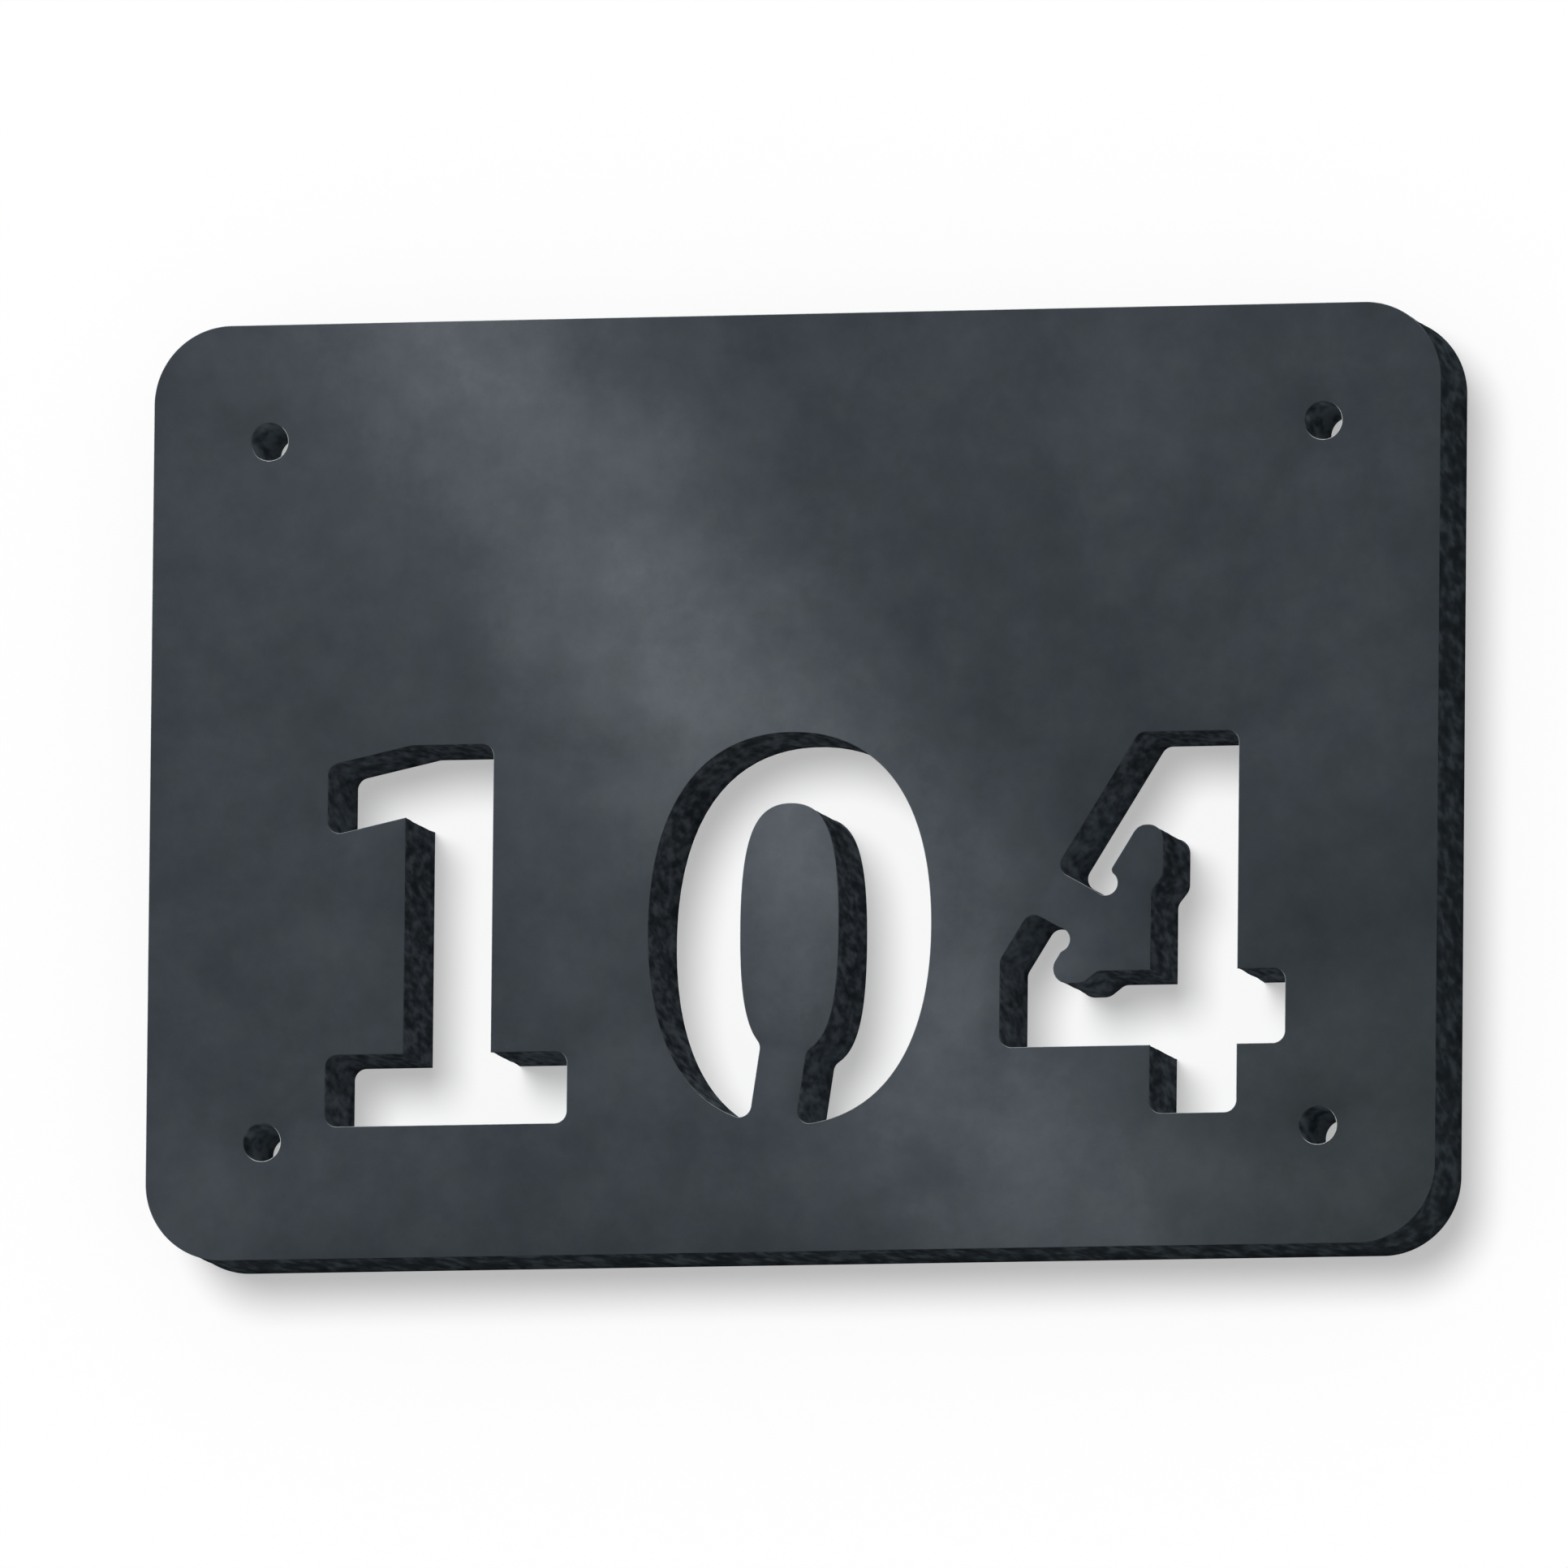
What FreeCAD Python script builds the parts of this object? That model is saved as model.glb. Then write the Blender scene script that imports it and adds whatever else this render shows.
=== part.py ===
import FreeCAD, Part
import Sketcher
import os
import re

# House number plaque: one slab of slate with a stencil 104 cut right through it and four
# plain screw holes. The back face lies on Y = 0, the honed face looks along -Y and +Z is up.
# The origin is the middle of the four screw holes, on the back face.

document = FreeCAD.newDocument("plaque")
sizes = document.addObject("Spreadsheet::Sheet", "Sizes")

# Driving sizes, in millimetres and degrees.
driving_sizes = (
    ("plateThickness", 20, "slab, back to honed face"),
    ("plateCornerRadius", 12.5, "outer corners of the slab"),
    ("arris", 0.3, "rubbed edge round the honed face and every cut"),
    ("holeDiameter", 6.1, "screw holes"),
    ("holeSideInset", 19, "screw hole centre from the side of the slab"),
    ("holeEndInset", 18.8, "screw hole centre from the top or bottom of the slab"),
    ("cutterRadius", 1.95, "left in every inside corner of a cut"),
    ("topMargin", 68, "stone above the 1 and the 4"),
    ("bottomMargin", 21.1, "stone below the 1 and the 4"),
    ("leftMargin", 29.25, "stone left of the 1"),
    ("rightMargin", 24.45, "stone right of the 4"),
    ("oneZeroGap", 13.05, "stone between the 1 and the 0"),
    ("zeroFourGap", 11.3, "stone between the 0 and the 4"),
    ("numeralHeight", 60.9, "foot to top of the 1 and the 4"),
    ("oneFootWidth", 39.55, "foot of the 1"),
    ("oneFootHeight", 11.5, "foot of the 1"),
    ("oneStemInset", 12.75, "stem of the 1 from the left end of its foot"),
    ("oneStemWidth", 14.3, "stem of the 1"),
    ("oneFlagDrop", 3, "end of the flag below the top of the 1"),
    ("oneFlagDepth", 11.35, "end of the flag, top to bottom"),
    ("oneFlagAngle", 12.4, "fall of the flag"),
    ("zeroIslandWidth", 16.1, "stone left inside the 0, side to side"),
    ("zeroSideStroke", 15, "stroke of the 0 at its sides"),
    ("zeroOvershoot", 0.95, "0 past the 1 and the 4, above and below"),
    ("zeroEndStroke", 11.3, "stroke of the 0 at its top and bottom"),
    ("zeroFullness", 0.64, "how square the outside of the 0 is, 0.55 being an ellipse"),
    ("islandFullness", 0.74, "how square the inside of the 0 is"),
    ("zeroBridgeWidth", 7.6, "stone left across the foot of the 0"),
    ("zeroBridgeOffset", 2.6, "middle of that bridge left of the middle of the 0, at its foot"),
    ("zeroBridgeAngle", 8.2, "lean of that bridge"),
    ("fourStemInset", 24.4, "stem of the 4 from the left end of the crossbar"),
    ("fourStemWidth", 14.1, "stem of the 4"),
    ("fourArm", 7.8, "crossbar past the stem"),
    ("fourBarBase", 10.9, "underside of the crossbar above the foot of the 4"),
    ("fourBarHeight", 11.95, "crossbar"),
    ("fourHeel", 13.95, "upright left end of the crossbar"),
    ("fourTopWidth", 16.2, "flat top of the 4"),
    ("fourDiagonalStroke", 7.75, "stroke of the diagonal"),
    ("fourBridgeWidth", 7.8, "stone left across the diagonal"),
    ("fourBridgePlace", 13, "middle of that bridge from the heel, along the diagonal"),
    ("fourBridgeAngle", 29, "fall of that bridge"),
    ("upperReliefOut", 0.4, "relief hole above the bridge, past the inner side of the diagonal"),
    ("lowerReliefIn", 1.45, "relief hole below the bridge, inside the inner side of the diagonal"),
    ("reliefBite", 0.1, "how far a relief hole cuts into the bridge"),
    ("reliefShoulder", 0.8, "rounding between a relief hole and the side of the diagonal"),
    ("nibStep", 1.9, "nibs of the island, past the stem and the crossbar"),
    ("nibRadius", 2.4, "round ends of the nibs"),
    ("nibStepAngle", 38, "slope between a nib and the side of the island"),
    ("upperNibFlat", 0.3, "flat top of the upper nib"),
    ("upperNibLength", 8.2, "upper nib, top to its step"),
    ("lowerNibFlat", 1.6, "flat underside of the lower nib"),
)
for row, (name, number, note) in enumerate(driving_sizes, start=1):
    sizes.set(f"A{row}", note)
    sizes.set(f"B{row}", str(number))
    sizes.setAlias(f"B{row}", name)
document.recompute()

# The slab is as large as its numerals, the gaps between them and its margins.
zero_width = "(zeroIslandWidth + 2 * zeroSideStroke)"
four_width = "(fourStemInset + fourStemWidth + fourArm)"
numerals_width = f"(oneFootWidth + oneZeroGap + {zero_width} + zeroFourGap + {four_width})"
plate_width = f"(leftMargin + {numerals_width} + rightMargin)"
plate_height = "(topMargin + numeralHeight + bottomMargin)"
one_left = f"(leftMargin - {plate_width} / 2)"
zero_left = f"({one_left} + oneFootWidth + oneZeroGap)"
four_left = f"({zero_left} + {zero_width} + zeroFourGap)"
numeral_foot = f"(bottomMargin - {plate_height} / 2)"
numeral_top = f"({numeral_foot} + numeralHeight)"

# A cutting body stands past both faces of the slab.
cutter_proud = "(plateThickness / 10)"
cutter_length = f"(plateThickness + 2 * {cutter_proud})"

size_names = re.compile(r"\b(" + "|".join(name for name, number, note in driving_sizes) + r")\b")
parallel = 0.999      # directions closer than this cosine run the same way
same_place = 0.01     # places closer than this are one place
corner_step = 0.1     # step off a corner edge that tells stone from air


def value(expression):
    """The number that a sum of sizes comes to."""
    return float(sizes.evalExpression(expression))


def bind(thing, field, expression):
    """Ties one field of an object to a sum of sizes in the sheet."""
    thing.setExpression(field, size_names.sub(r"Sizes.\1", expression))


def new_sketch(body, name):
    """A sketch on the back face: its own x is X, and its y is Z."""
    sketch = body.newObject("Sketcher::SketchObject", name)
    plane = [feature for feature in body.Origin.OriginFeatures if feature.Role == "XZ_Plane"][0]
    sketch.AttachmentSupport = [(plane, "")]
    sketch.MapMode = "FlatFace"
    return sketch


def hold(sketch, geometry, point, across, up):
    """Ties one point of a sketch to its place."""
    for kind, expression in (("DistanceX", across), ("DistanceY", up)):
        rule = Sketcher.Constraint(kind, -1, 1, geometry, point, value(expression))
        index = sketch.addConstraint(rule)
        bind(sketch, f"Constraints[{index}]", expression)


def add_outline(sketch, corners):
    """A closed outline of straight sides."""
    points = [FreeCAD.Vector(value(across), value(up), 0) for across, up in corners]
    for start, end in zip(points, points[1:] + points[:1]):
        sketch.addGeometry(Part.LineSegment(start, end), False)
    for side, (across, up) in enumerate(corners):
        before = (side - 1) % len(corners)
        sketch.addConstraint(Sketcher.Constraint("Coincident", before, 2, side, 1))
        hold(sketch, side, 1, across, up)


def add_circle(sketch, across, up, radius):
    """A circle, such as a hole."""
    centre = FreeCAD.Vector(value(across), value(up), 0)
    circle = sketch.addGeometry(Part.Circle(centre, FreeCAD.Vector(0, 0, 1), value(radius)), False)
    hold(sketch, circle, 3, across, up)
    index = sketch.addConstraint(Sketcher.Constraint("Radius", circle, value(radius)))
    bind(sketch, f"Constraints[{index}]", radius)


def add_oval(sketch, middle, level, half_width, half_height, fullness):
    """An upright oval of four curves, whose handles are as long as its fullness says."""
    for side, end in ((1, 1), (-1, 1), (-1, -1), (1, -1)):
        handles = [
            (f"{middle} + {side} * {half_width}", level),
            (f"{middle} + {side} * {half_width}", f"{level} + {end} * {half_height} * {fullness}"),
            (f"{middle} + {side} * {half_width} * {fullness}", f"{level} + {end} * {half_height}"),
            (middle, f"{level} + {end} * {half_height}"),
        ]
        points = [FreeCAD.Vector(value(across), value(up), 0) for across, up in handles]
        marks = [
            sketch.addGeometry(Part.Circle(point, FreeCAD.Vector(0, 0, 1), 1), True)
            for point in points
        ]
        curve = sketch.addGeometry(Part.BSplineCurve(points, None, None, False, 3, None, False), False)
        for order, mark in enumerate(marks):
            rule = "InternalAlignment:Sketcher::BSplineControlPoint"
            sketch.addConstraint(Sketcher.Constraint(rule, mark, 3, curve, order))
            sketch.addConstraint(Sketcher.Constraint("Weight", mark, 1))
            hold(sketch, mark, 3, *handles[order])


def pad(body, sketch, name, length):
    """Stone from the sketch towards the honed face."""
    feature = body.newObject("PartDesign::Pad", name)
    feature.Profile = sketch
    bind(feature, "Length", length)
    document.recompute()
    return feature


def cut_through(body, sketch, name):
    """A cut from the sketch right through what lies in front of it."""
    before = body.Shape.Volume
    feature = body.newObject("PartDesign::Pocket", name)
    feature.Profile = sketch
    feature.Type = "ThroughAll"
    feature.Reversed = True
    document.recompute()
    if feature.Shape.isNull() or feature.Shape.Volume >= before:
        raise ValueError(f"{name} cuts nothing")
    return feature


def corner_edges(shape, wanted):
    """Names of the edges through the thickness that are outer or inner corners of a shape."""
    found = []
    for number, edge in enumerate(shape.Edges, start=1):
        start, end = edge.Vertexes[0].Point, edge.Vertexes[-1].Point
        run = end - start
        if run.Length < value("plateThickness / 2") or abs(run.y) < parallel * run.Length:
            continue
        middle = (start + end) * 0.5
        normals = []
        for face in shape.ancestorsOfType(edge, Part.Face):
            across, along = face.Surface.parameter(middle)
            normals.append(face.normalAt(across, along))
        if len(normals) < 2 or normals[0].dot(normals[1]) > parallel:
            continue
        aside = (normals[0] - normals[1]).normalize() * corner_step
        kind = "inner" if shape.isInside(middle + aside, same_place, False) else "outer"
        if kind == wanted:
            found.append((f"Edge{number}", middle))
    return found


def seen_apart(place, other):
    """How far apart two places are, seen from the front."""
    return FreeCAD.Vector(place.x - other.x, 0, place.z - other.z).Length


def round_corners(body, name, edges, radius):
    """Rounds some corner edges of a body to one radius."""
    base = body.Tip
    feature = body.newObject("PartDesign::Fillet", name)
    feature.Base = (base, [edge for edge, place in edges])
    bind(feature, "Radius", radius)
    document.recompute()
    return feature


def new_cutter(name):
    """A body in the shape of what is cut out; it stands past both faces of the slab."""
    body = document.addObject("PartDesign::Body", name)
    bind(body, "Placement.Base.y", cutter_proud)
    return body


def make_one():
    """The cut of the 1: a stem on a slab foot, with a sloping flag."""
    foot_right = f"({one_left} + oneFootWidth)"
    foot_top = f"({numeral_foot} + oneFootHeight)"
    stem_left = f"({one_left} + oneStemInset)"
    stem_right = f"({stem_left} + oneStemWidth)"
    flag_top = f"({numeral_top} - oneFlagDrop)"
    fall = "tan(oneFlagAngle * 1 deg)"
    body = new_cutter("cutter_one")
    sketch = new_sketch(body, "one_outline")
    add_outline(sketch, [
        (one_left, numeral_foot),
        (foot_right, numeral_foot),
        (foot_right, foot_top),
        (stem_right, foot_top),
        (stem_right, numeral_top),
        (f"{one_left} + oneFlagDrop / {fall}", numeral_top),
        (one_left, flag_top),
        (one_left, f"{flag_top} - oneFlagDepth"),
        (stem_left, f"{flag_top} - oneFlagDepth + oneStemInset * {fall}"),
        (stem_left, foot_top),
        (one_left, foot_top),
    ])
    pad(body, sketch, "one_solid", cutter_length)
    round_corners(body, "one_corners", corner_edges(body.Shape, "outer"), "cutterRadius")
    return body


def make_zero():
    """The cut of the 0: an oval ring, broken at its foot by the bridge that holds the island."""
    middle = f"({zero_left} + {zero_width} / 2)"
    level = f"({numeral_foot} + numeralHeight / 2)"
    half_height = "(numeralHeight / 2 + zeroOvershoot)"
    lean = "tan(zeroBridgeAngle * 1 deg)"
    half_bridge = "(zeroBridgeWidth / 2 / cos(zeroBridgeAngle * 1 deg))"
    body = new_cutter("cutter_zero")
    outside = new_sketch(body, "zero_outside")
    add_oval(outside, middle, level, f"({zero_width} / 2)", half_height, "zeroFullness")
    pad(body, outside, "zero_solid", cutter_length)
    inside = new_sketch(body, "zero_island")
    island_half_height = f"({half_height} - zeroEndStroke)"
    add_oval(inside, middle, level, "(zeroIslandWidth / 2)", island_half_height, "islandFullness")
    cut_through(body, inside, "zero_ring")
    # The bridge starts well inside the island and ends below the 0.
    foot = f"({level} - {half_height})"
    bridge_middle = f"({middle} - zeroBridgeOffset)"
    start = "(zeroEndStroke * 1.5)"
    end = "(zeroEndStroke * -0.5)"
    bridge = new_sketch(body, "zero_bridge")
    add_outline(bridge, [
        (f"{bridge_middle} + {side} * {half_bridge} + {height} * {lean}", f"{foot} + {height}")
        for side, height in ((-1, start), (-1, end), (1, end), (1, start))
    ])
    cut_through(body, bridge, "zero_bridge_left")
    round_corners(body, "zero_corners", corner_edges(body.Shape, "outer"), "cutterRadius")
    return body


def make_four():
    """The cut of the 4: its island hangs on a bridge across the diagonal."""
    bar_base = f"({numeral_foot} + fourBarBase)"
    bar_top = f"({bar_base} + fourBarHeight)"
    heel_top = f"({bar_base} + fourHeel)"
    stem_left = f"({four_left} + fourStemInset)"
    stem_right = f"({stem_left} + fourStemWidth)"
    arm_right = f"({stem_right} + fourArm)"
    top_left = f"({stem_right} - fourTopWidth)"
    body = new_cutter("cutter_four")
    outline = new_sketch(body, "four_outline")
    add_outline(outline, [
        (four_left, bar_base),
        (stem_left, bar_base),
        (stem_left, numeral_foot),
        (stem_right, numeral_foot),
        (stem_right, bar_base),
        (arm_right, bar_base),
        (arm_right, bar_top),
        (stem_right, bar_top),
        (stem_right, numeral_top),
        (top_left, numeral_top),
        (four_left, heel_top),
    ])
    pad(body, outline, "four_solid", cutter_length)

    # The inner side of the diagonal runs beside its outer side, one stroke away.
    rise = f"(({numeral_top} - {heel_top}) / ({top_left} - {four_left}))"
    slope = f"atan({rise})"
    inner_start = f"({four_left} + fourDiagonalStroke / sin({slope}))"

    def inner_across(up):
        return f"({inner_start} + ({up} - {heel_top}) / {rise})"

    # The island has a nib at its top and one at its lower left, each past the island's sides.
    nib_right = f"({stem_left} + nibStep)"
    top_nib_width = f"(nibRadius * (1 + tan({slope} / 2)) + upperNibFlat)"
    nib_top = f"({heel_top} + ({nib_right} - {top_nib_width} - {inner_start}) * {rise})"
    step_top = f"({nib_top} - upperNibLength)"
    step_run = "(nibStep / tan(nibStepAngle * 1 deg))"
    nib_base = f"({bar_top} - nibStep)"
    acute = f"tan(90 deg - {slope} / 2)"
    step_turn = "tan(nibStepAngle / 2 * 1 deg)"
    step_left = f"({inner_across(nib_base)} + nibRadius * ({acute} + {step_turn}) + lowerNibFlat)"
    island_corners = [
        (inner_across(nib_base), nib_base),
        (step_left, nib_base),
        (f"{step_left} + {step_run}", bar_top),
        (stem_left, bar_top),
        (stem_left, f"{step_top} - {step_run}"),
        (nib_right, step_top),
        (nib_right, nib_top),
        (inner_across(nib_top), nib_top),
    ]
    island = new_sketch(body, "four_island")
    add_outline(island, island_corners)
    cut_through(body, island, "four_loop")

    # The bridge lies across the diagonal, from outside the 4 to well inside the island.
    bridge_across = f"({four_left} + fourBridgePlace * cos({slope}))"
    bridge_level = f"({heel_top} + fourBridgePlace * sin({slope}))"
    fall_across = "cos(fourBridgeAngle * 1 deg)"
    fall_down = "sin(fourBridgeAngle * 1 deg)"
    half_bridge = "(fourBridgeWidth / 2)"

    def beside_bridge(along, above):
        """A place measured along the bridge from the outer side of the 4, and up from its middle."""
        across = f"({bridge_across} + ({along}) * {fall_across} + ({above}) * {fall_down})"
        up = f"({bridge_level} - ({along}) * {fall_down} + ({above}) * {fall_across})"
        return across, up

    outer_end = "-fourDiagonalStroke"
    inner_end = "(fourDiagonalStroke * 1.5)"
    bridge = new_sketch(body, "four_bridge")
    add_outline(bridge, [
        beside_bridge(outer_end, half_bridge),
        beside_bridge(outer_end, f"-{half_bridge}"),
        beside_bridge(inner_end, f"-{half_bridge}"),
        beside_bridge(inner_end, half_bridge),
    ])
    cut_through(body, bridge, "four_bridge_left")

    # A round relief ends each stub of the diagonal on the island's side. A corner that a relief
    # swallows isn't rounded.
    skew = f"tan(90 deg - {slope} - fourBridgeAngle * 1 deg)"
    stretch = f"(1 / cos(90 deg - {slope} - fourBridgeAngle * 1 deg))"
    relief_height = "(fourBridgeWidth / 2 + cutterRadius - reliefBite)"
    relief_places = [
        beside_bridge(f"({depth} * {stretch} + {side} * {relief_height} * {skew})",
                      f"{side} * {relief_height}")
        for side, depth in ((1, "(fourDiagonalStroke + upperReliefOut)"),
                            (-1, "(fourDiagonalStroke - lowerReliefIn)"))
    ]
    relief_centres = [FreeCAD.Vector(value(across), 0, value(up)) for across, up in relief_places]
    outer_corners = [
        (edge, middle) for edge, middle in corner_edges(body.Shape, "outer")
        if all(seen_apart(middle, centre) > value("cutterRadius") for centre in relief_centres)
    ]
    round_corners(body, "four_corners", outer_corners, "cutterRadius")
    reliefs = new_sketch(body, "four_reliefs")
    for across, up in relief_places:
        add_circle(reliefs, across, up, "cutterRadius")
    pad(body, reliefs, "four_relief_holes", cutter_length)

    # Where a relief meets the side of the diagonal, away from the bridge, the stone is eased.
    bridge_middle = FreeCAD.Vector(value(bridge_across), 0, value(bridge_level))
    bridge_side = FreeCAD.Vector(value(fall_down), 0, value(fall_across))
    shoulders = [
        (edge, middle) for edge, middle in corner_edges(body.Shape, "inner")
        if abs((middle - bridge_middle).dot(bridge_side)) > value(relief_height)
        and any(abs(seen_apart(middle, centre) - value("cutterRadius")) < same_place
                for centre in relief_centres)
    ]
    round_corners(body, "four_shoulders", shoulders, "reliefShoulder")

    nib_places = [FreeCAD.Vector(value(across), 0, value(up))
                  for across, up in island_corners[:2] + island_corners[5:]]
    nib_corners = [
        (edge, middle) for edge, middle in corner_edges(body.Shape, "inner")
        if any(seen_apart(middle, place) < same_place for place in nib_places)
    ]
    round_corners(body, "four_nibs", nib_corners, "nibRadius")
    return body


def make_plaque(cutters):
    """The slab, its screw holes, the numerals and the rubbed edges."""
    half_width = f"({plate_width} / 2)"
    half_height = f"({plate_height} / 2)"
    body = document.addObject("PartDesign::Body", "plaque")
    body.Label = "plaque"
    outline = new_sketch(body, "slab_outline")
    add_outline(outline, [
        (f"-{half_width}", f"-{half_height}"),
        (half_width, f"-{half_height}"),
        (half_width, half_height),
        (f"-{half_width}", half_height),
    ])
    pad(body, outline, "slab", "plateThickness")
    round_corners(body, "slab_corners", corner_edges(body.Shape, "outer"), "plateCornerRadius")

    holes = new_sketch(body, "screw_hole_circles")
    for side in (-1, 1):
        for end in (-1, 1):
            across = f"{side} * ({half_width} - holeSideInset)"
            up = f"{end} * ({half_height} - holeEndInset)"
            add_circle(holes, across, up, "holeDiameter / 2")
    cut_through(body, holes, "screw_holes")

    numerals = body.newObject("PartDesign::Boolean", "numerals")
    numerals.Type = "Cut"
    numerals.setObjects(cutters)
    document.recompute()

    honed_face = min(body.Shape.Faces, key=lambda face: face.CenterOfMass.y)
    rim = [
        f"Edge{number}" for number, edge in enumerate(body.Shape.Edges, start=1)
        if any(edge.isSame(other) for other in honed_face.Edges)
    ]
    arrises = body.newObject("PartDesign::Chamfer", "arrises")
    arrises.Base = (numerals, rim)
    bind(arrises, "Size", "arris")
    document.recompute()
    return body


plaque = make_plaque([make_one(), make_zero(), make_four()])

for thing in document.Objects:
    if "Invalid" in thing.State or "Error" in thing.State:
        raise ValueError(f"{thing.Name} did not compute: {thing.State}")
shape = plaque.Shape
if shape.isNull() or not shape.isValid() or len(shape.Solids) != 1:
    raise ValueError("the plaque is not one valid solid")

os.makedirs("parts", exist_ok=True)
shape.exportStep(f"parts/{plaque.Label}.step")
print(f"{plaque.Label}: {value(plate_width):g} mm wide, {value(plate_height):g} mm high, "
      f"{shape.Volume / 1000:.1f} cubic centimetres, {len(shape.Faces)} faces")
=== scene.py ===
import math

import bmesh
import bpy
from mathutils import Matrix, Vector, noise


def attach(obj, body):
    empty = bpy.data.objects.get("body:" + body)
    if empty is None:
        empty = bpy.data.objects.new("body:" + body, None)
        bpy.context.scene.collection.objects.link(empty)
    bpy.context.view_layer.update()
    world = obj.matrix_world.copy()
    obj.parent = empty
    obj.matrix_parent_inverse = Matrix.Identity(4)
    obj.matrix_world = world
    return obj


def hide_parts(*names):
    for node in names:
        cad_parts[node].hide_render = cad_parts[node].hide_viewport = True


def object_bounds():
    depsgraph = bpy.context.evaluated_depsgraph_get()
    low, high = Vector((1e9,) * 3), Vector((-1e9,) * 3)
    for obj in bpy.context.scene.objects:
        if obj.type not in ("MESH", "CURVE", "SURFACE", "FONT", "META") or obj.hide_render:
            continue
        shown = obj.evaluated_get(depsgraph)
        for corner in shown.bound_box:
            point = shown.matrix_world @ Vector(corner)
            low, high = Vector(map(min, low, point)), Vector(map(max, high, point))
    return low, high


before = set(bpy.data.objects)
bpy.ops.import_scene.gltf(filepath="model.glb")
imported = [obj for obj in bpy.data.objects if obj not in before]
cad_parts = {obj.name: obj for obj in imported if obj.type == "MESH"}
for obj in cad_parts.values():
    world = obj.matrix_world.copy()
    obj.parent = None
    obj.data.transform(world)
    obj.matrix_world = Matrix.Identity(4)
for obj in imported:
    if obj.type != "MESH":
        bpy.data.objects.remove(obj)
cadLow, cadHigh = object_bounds()
print("frame loaded")

mm = 0.001    # the scene is in metres; sizes below are in millimetres and turned here
closePoints = 0.001 * mm    # points nearer than this are one point


def rgb(code):
    # an sRGB hex colour as the linear colour that a shader wants
    parts = [int(code[i:i + 2], 16) / 255 for i in (1, 3, 5)]
    return [p / 12.92 if p <= 0.04045 else ((p + 0.055) / 1.055) ** 2.4 for p in parts] + [1]


def perMetre(size):
    # texture scale for a pattern whose features are this many millimetres across
    return 1 / (size * mm)


def addNode(tree, kind, inputs=None, **settings):
    # one node, its settings, and its inputs: a socket is linked, anything else is a value.
    # Inputs of one name go by number: a Mix node has numbers at 2 and 3 and colours at 6 and 7.
    node = tree.nodes.new(kind)
    for name, value in settings.items():
        setattr(node, name, value)
    for name, value in (inputs or {}).items():
        if isinstance(value, bpy.types.NodeSocket):
            tree.links.new(value, node.inputs[name])
        else:
            node.inputs[name].default_value = value
    return node


def newMaterial(name):
    material = bpy.data.materials.new(name)
    material.use_nodes = True
    material.node_tree.nodes.clear()
    return material, material.node_tree


def setRamp(ramp, stops):
    # a colour ramp's stops, as place and hex colour or plain number
    while len(ramp.elements) < len(stops):
        ramp.elements.new(0.5)
    for element, (place, value) in zip(ramp.elements, stops):
        element.position = place
        element.color = rgb(value) if isinstance(value, str) else (value, value, value, 1)


def slateShader(tree, look, colour, roughness, normal=None):
    # stone is a plain dielectric; its rough grains hide most of the gloss that polish would give
    inputs = {"Base Color": colour, "Roughness": roughness, "IOR": 1.5,
              "Specular IOR Level": look["gloss"]}
    if normal:
        inputs["Normal"] = normal
    shader = addNode(tree, "ShaderNodeBsdfPrincipled", inputs)
    addNode(tree, "ShaderNodeOutputMaterial", {"Surface": shader.outputs[0]})


# Honed slate: a blue-grey mudstone honed flat and matt. The eye sees soft ragged clouds a few
# centimetres across, a long pale band from the upper left to the lower right that is a painted sheen,
# patches that lean to green or to blue, and a dull sheen with no clear reflection.
honedSlate = {
    "blueShades": [(0.0, "#22282e"), (0.25, "#2f353c"), (0.5, "#3d434a"), (0.75, "#4f555c"),
                   (1.0, "#636970")],
    "greenShades": [(0.0, "#22292b"), (0.25, "#303639"), (0.5, "#3e4447"), (0.75, "#505659"),
                    (1.0, "#646a6d")],
    "leanSize": 5,           # mm, flecks that lean one way
    "leanShare": 0.8,        # how far they lean
    "greenest": (100, -62, 62, 0.6),    # where it's greenest: across, up, radius and how far
    "ground": 0.295,         # shade where there is no cloud
    # broad clouds, the mottling inside them, and specks: size in mm, how finely broken up and how
    # strong; the specks are drawn coarser than the real grain of 0.05 mm so that they show
    "layers": [(30, 8, 0.45), (10, 7, 0.42), (1.6, 3, 0.05)],
    "drift": 8,              # mm that the clouds' edges wander
    "driftSize": 22,         # mm between the bends of their edges
    "sheenSize": 12,         # mm, duller and shinier patches
    "roughness": (0.72, 0.84),
    "gloss": 0.15,           # specular level; smooth stone has 0.5
    "toothSize": 0.9,        # mm, what honing leaves, drawn coarser than the real 0.1 mm
    "toothDepth": 0.1,       # mm
    "paintedSheen": 0.42,           # how much paler the painted sheen is
    "paintedSheenFrom": (-54, 72),  # mm, across and up from the middle of the plaque
    "paintedSheenTo": (48, -68),
    # its strength by place: mm from its middle line to the upper right, and mm along it
    "paintedSheenAcross": [(-48, 0), (-36, 0.12), (-24, 0.38), (-12, 0.8), (0, 1), (12, 0.78), (24, 0.34),
                    (36, 0)],
    "paintedSheenAlong": [(0, 0.95), (50, 1), (110, 0.98), (135, 0.78), (175, 0.74)],
    # smaller clouds beside it: across, up, radius, all in mm, and how much paler or darker
    "clouds": [
        (-74, 60, 38, 0.04), (57, 63, 28, 0.07), (6, 50, 20, -0.05), (-98, 38, 36, 0.05),
        (40, 28, 42, -0.05), (-64, 10, 44, 0.08), (-22, 7, 48, 0.15), (-98, -12, 20, -0.05),
        (60, -18, 20, -0.06), (90, -22, 42, -0.15), (0, -29, 26, 0.06), (-68, -37, 20, 0.06),
        (-32, -42, 28, 0.06), (42, -48, 22, -0.06), (78, -66, 32, -0.12), (-98, -72, 26, 0.14),
        (33, -71, 24, 0.07),
    ],
}


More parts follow.
